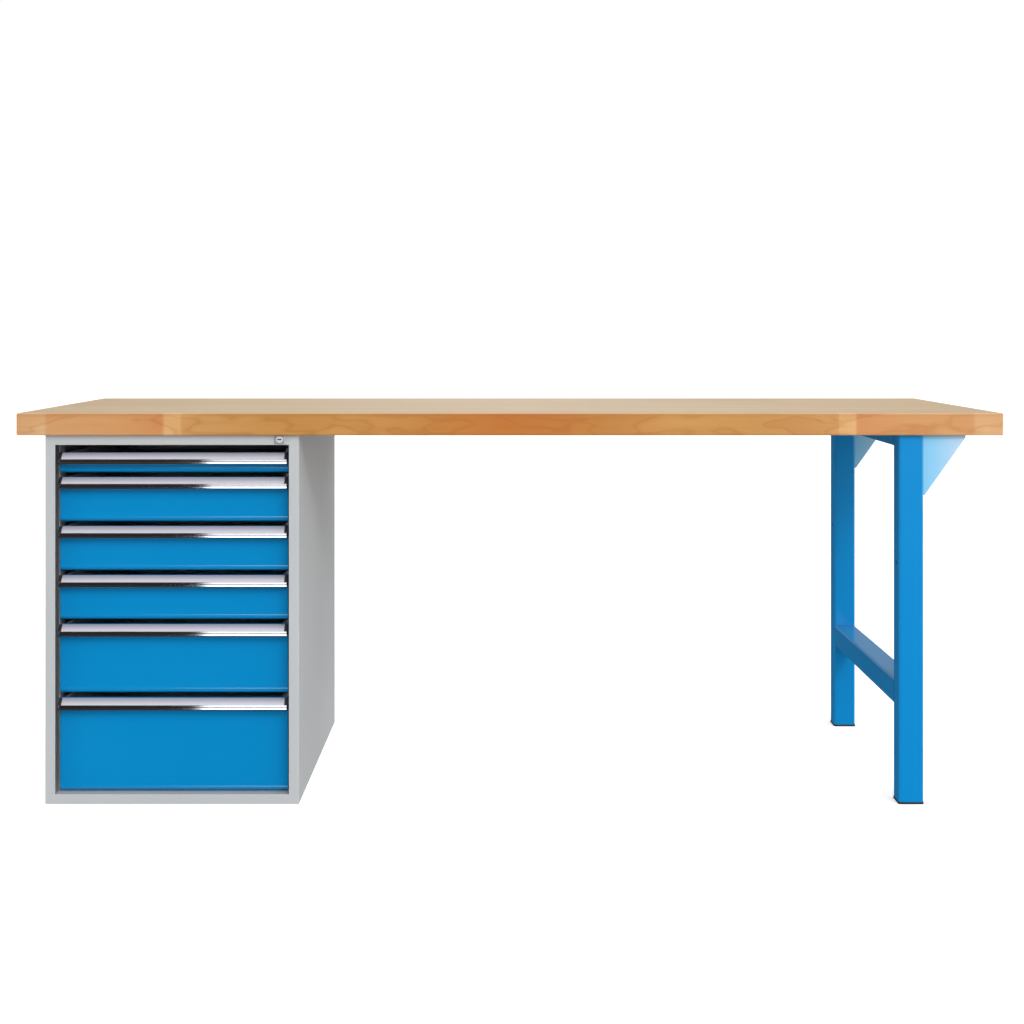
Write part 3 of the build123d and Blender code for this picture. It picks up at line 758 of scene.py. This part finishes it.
def repeated(row, points, attributes=None):
    # the tree's result on these points, as a plain mesh
    mesh = bpy.data.meshes.new("places")
    mesh.from_pydata(points, [], [])
    for name, values in (attributes or {}).items():
        mesh.attributes.new(name, "FLOAT", "POINT").data.foreach_set("value", values)
    holder = bpy.data.objects.new("places", mesh)
    scene.collection.objects.link(holder)
    modifier = holder.modifiers.new("row", "NODES")
    modifier.node_group = row.tree
    for item in row.tree.interface.items_tree:
        if item.in_out == "INPUT" and item.name in row.sizes:
            modifier[item.identifier] = row.sizes[item.name]
    result = bpy.data.meshes.new_from_object(holder.evaluated_get(bpy.context.evaluated_depsgraph_get()))
    bpy.data.objects.remove(holder)
    result.shade_smooth()
    result.set_sharp_from_angle(angle=math.radians(35))
    return result


# hexagon heads on washers, with shanks up into the worktop
worktopScrew = {"Washer radius": 0.006, "Washer thickness": 0.0009, "Hexagon radius": 0.0049,
                "Head height": 0.0035, "Shank radius": 0.003}


def screwRow():
    row = NodeRow("worktopScrew", worktopScrew)
    thickness, height = row.given("Washer thickness"), row.given("Head height")
    corner = row.given("Hexagon radius")
    washer = row.cylinder(28, row.given("Washer radius"), thickness)
    hexagon = row.cylinder(6, corner, height - thickness)
    crown = row.add("GeometryNodeMeshCone", {}, {"Vertices": 24, "Radius Top": corner * 0.82,
                                                 "Radius Bottom": corner * 0.62, "Depth": 0.0004})
    head = row.together(row.moved(washer, row.vector(z=height - thickness / 2)),
                        row.moved(hexagon, row.vector(z=(height - thickness) / 2 + 0.0002)), crown)
    shank = row.moved(row.cylinder(16, row.given("Shank radius"), 1.0), row.vector(z=0.5))
    raised = row.add("GeometryNodeSetPosition", {},
                     {"Geometry": row.given("Places"), "Offset": row.vector(z=height)})
    reach = row.add("GeometryNodeInputNamedAttribute", {"data_type": "FLOAT"}, {"Name": "reach"}, "Attribute")
    heads = row.onPoints(row.given("Places"), head)
    shanks = row.onPoints(raised, shank, row.vector(1.0, 1.0, reach))
    row.finish(row.together(heads, shanks), screwZinc)
    return row


screwBoxes = islandBoxes("worktop_screws")
screwPoints = [((low.x + high.x) / 2, (low.y + high.y) / 2, low.z) for low, high in screwBoxes]
screwReach = [high.z - low.z - worktopScrew["Head height"] for low, high in screwBoxes]
addPiece("worktop_screw_set", repeated(screwRow(), screwPoints, {"reach": screwReach}),
         screwZinc, "bench", "screw_zinc", "worktop_screws")

# balls that run between the slides' members
slideBalls = {"Ball radius": 0.00115, "Pitch": 0.0125, "Balls in a row": 20}


def ballRow():
    row = NodeRow("slideBalls", slideBalls)
    line = row.add("GeometryNodeMeshLine", {"mode": "OFFSET"},
                   {"Count": row.given("Balls in a row"), "Offset": row.vector(y=row.given("Pitch"))})
    lines = row.add("GeometryNodeRealizeInstances", {}, {0: row.onPoints(row.given("Places"), line)})
    ball = row.add("GeometryNodeMeshUVSphere", {},
                   {"Segments": 10, "Rings": 6, "Radius": row.given("Ball radius")})
    row.finish(row.onPoints(lines, ball), slideZinc)
    return row


# low rivet heads inside the boxes, where the slides are fixed
boxRivets = {"Head radius": 0.0036, "Head height": 0.0011}


def rivetRow():
    row = NodeRow("boxRivets", boxRivets)
    dome = row.add("GeometryNodeMeshUVSphere", {}, {"Segments": 18, "Rings": 8, "Radius": 1.0})
    size = row.vector(row.given("Head height"), row.given("Head radius"), row.given("Head radius"))
    row.finish(row.onPoints(row.given("Places"), dome, size), screwZinc)
    return row


slideFit = {
    "sheet": 0.0012,        # the members' thickness
    "ballSetback": 0.02,    # from a member's end to the first ball
    "rivetShares": (0.06, 0.3, 0.62, 0.94),  # along the inner member
    "rivetSink": 0.001,
}
balls = ballRow()
rivets = rivetRow()
rowLength = slideBalls["Pitch"] * (slideBalls["Balls in a row"] - 1)


def ballPlaces(drawer):
    # rows above and below the middle member at its rear, and the inner member at its front
    places = []
    pairs = zip(islandBoxes(drawer + "_slide_middle"), islandBoxes(drawer + "_slide_inner"))
    for (low, high), (innerLow, innerHigh) in pairs:
        across = (low.x + high.x) / 2
        gap = (innerLow.z - low.z - slideFit["sheet"]) / 2  # half of the space between the flanges
        rear, front = high.y - rowLength - slideFit["ballSetback"], low.y + slideFit["ballSetback"]
        places += [(across, rear, low.z - gap), (across, rear, high.z + gap),
                   (across, front, innerLow.z - gap), (across, front, innerHigh.z + gap)]
    return places


def rivetPlaces(drawer):
    low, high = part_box(drawer + "_slide_inner")
    trayLow, trayHigh = max(islandBoxes(drawer + "_box"), key=lambda pair: pair[1].x - pair[0].x)
    walls = (trayLow.x + slideFit["rivetSink"], trayHigh.x - slideFit["rivetSink"])
    return [(wall, low.y + (high.y - low.y) * share, (low.z + high.z) / 2)
            for wall in walls for share in slideFit["rivetShares"]]


for drawer in drawers:
    slides = drawer.replace("drawer", "slides")
    addPiece(slides + "_balls", repeated(balls, ballPlaces(drawer)), slideZinc, slides, "slide_zinc")
    addPiece(drawer + "_rivets", repeated(rivets, rivetPlaces(drawer)), screwZinc, drawer, "slide_zinc")
print("screws, slide balls and rivets repeated")


floorForm = {"size": 60.0, "below": 0.0002, "glow": 0.55, "dark": (206, 206, 207), "light": (212, 212, 212)}


def paleFloor():
    mesh = bpy.data.meshes.new("floor")
    half, depth = floorForm["size"] / 2, cadBounds[0][2] - floorForm["below"]
    corners = [(-half, -half, depth), (half, -half, depth), (half, half, depth), (-half, half, depth)]
    mesh.from_pydata(corners, [], [(0, 1, 2, 3)])
    ground = Finish("paleFloor", {"Specular IOR Level": 0.0, "Emission Color": (1.0, 1.0, 1.0, 1.0),
                                  "Emission Strength": floorForm["glow"]})
    cloud = ground.noise((1.5, 1.5, 1.5), 3.0, 0.5)
    ground.feed(Base_Color=ground.mix(cloud, displayed(*floorForm["dark"]), displayed(*floorForm["light"])),
                Roughness=cloud * 0.1 + 0.6)
    mesh.materials.append(ground.material)
    floor = bpy.data.objects.new("floor", mesh)
    scene.collection.objects.link(floor)
    floor.visible_glossy = False
    floor.visible_diffuse = False


studio = {
    "surround": 0.36,       # strength all round
    "overhead": 0.62,       # more from above
    "sides": 1.4,           # and from both ends of the bench
    "bounce": 0.5,          # light that comes up from below
    "below": 0.04,          # what glossy faces mirror below the horizon
    "flagRight": -0.172,    # a dark flag over the left of the front; direction along X of its edges
    "flagLeft": -0.7,
    "flagStrength": 0.03,
    "windowRight": 0.5,     # a bright window beside it, up to this direction along X
    "windowLow": 0.05,      # and between these heights
    "windowHigh": 0.75,
    "windowStrength": 3.2,
    "crisp": 0.003,         # half-width of the edge between flag and window
    "soft": 0.1,            # and of the other edges
    "lowSoft": 0.05,
}


def pastEdge(direction, place, softness):  # 0 before this place, 1 past it
    return direction.between(place - softness, place + softness)


def studioSurround():
    world = bpy.data.worlds.new("studio")
    world.use_nodes = True
    scene.world = world
    sky = NodeSheet(world.node_tree)
    sky.tree.nodes.clear()
    ray = sky.add("ShaderNodeTexCoord", output="Generated")
    isCamera, isDiffuse = sky.add("ShaderNodeLightPath", output=("Is Camera Ray", "Is Diffuse Ray"))
    x, y, z = sky.add("ShaderNodeSeparateXYZ", {}, {0: ray}, ("X", "Y", "Z"))
    inFront = (y * -1.0).between(-0.25, -0.1)
    aboveFloor = z.between(-0.02, 0.02)
    pastFlag = pastEdge(x, studio["flagRight"], studio["crisp"])
    flag = pastEdge(x, studio["flagLeft"], studio["soft"]) * (1.0 - pastFlag) * aboveFloor * inFront
    window = pastFlag * (1.0 - pastEdge(x, studio["windowRight"], studio["soft"])) * inFront
    window = window * pastEdge(z, studio["windowLow"], studio["lowSoft"])
    window = window * (1.0 - pastEdge(z, studio["windowHigh"], studio["soft"]))
    sides = abs(x).between(0.55, 0.95) * studio["sides"]
    glow = (z.between(0.0, 1.0) * studio["overhead"] + sides + studio["surround"]) * aboveFloor
    bounce = isDiffuse * (sides + (studio["bounce"] - studio["below"])) + studio["below"]
    glow = glow + (1.0 - aboveFloor) * bounce
    glow = glow * (1.0 - flag) + flag * studio["flagStrength"] + window * studio["windowStrength"]
    lit = sky.add("ShaderNodeBackground", {}, {"Color": (1.0, 1.0, 1.0, 1.0), "Strength": glow})
    seen = sky.add("ShaderNodeBackground", {}, {"Color": (1.0, 1.0, 1.0, 1.0), "Strength": 1.0})
    both = sky.add("ShaderNodeMixShader", {}, {0: isCamera, 1: lit, 2: seen})
    sky.add("ShaderNodeOutputWorld", {}, {0: both})


lamps = {
    "key": {"place": (2.2, -3.3, 2.5), "target": (-0.4, 0.0, 0.4), "size": 0.6, "power": 36.0},
    "fill": {"place": (4.6, -0.9, 0.7), "target": (-0.43, 0.0, 0.4), "size": 1.6, "power": 40.0},
}


def areaLight(name, place, target, size, power):
    light = bpy.data.lights.new(name, "AREA")
    light.shape = "SQUARE"
    light.size = size
    light.energy = power
    lamp = bpy.data.objects.new(name, light)
    lamp.location = place
    lamp.rotation_euler = (Vector(target) - Vector(place)).to_track_quat("-Z", "Y").to_euler()
    scene.collection.objects.link(lamp)


lens = {"place": (-0.008, -3.825, 0.964), "focal": 59.9, "shiftRight": 0.0059, "shiftUp": -0.178}


def frontCamera():
    data = bpy.data.cameras.new("camera")
    data.sensor_width = 36.0
    data.lens = lens["focal"]
    data.shift_x = lens["shiftRight"]
    data.shift_y = lens["shiftUp"]
    camera = bpy.data.objects.new("camera", data)
    camera.location = lens["place"]
    camera.rotation_euler = (math.radians(90), 0.0, 0.0)
    scene.collection.objects.link(camera)
    scene.camera = camera


paleFloor()
studioSurround()
for lampName, lampForm in lamps.items():
    areaLight(lampName, **lampForm)
frontCamera()
scene.view_settings.view_transform = "Standard"
print("floor, light and camera set")
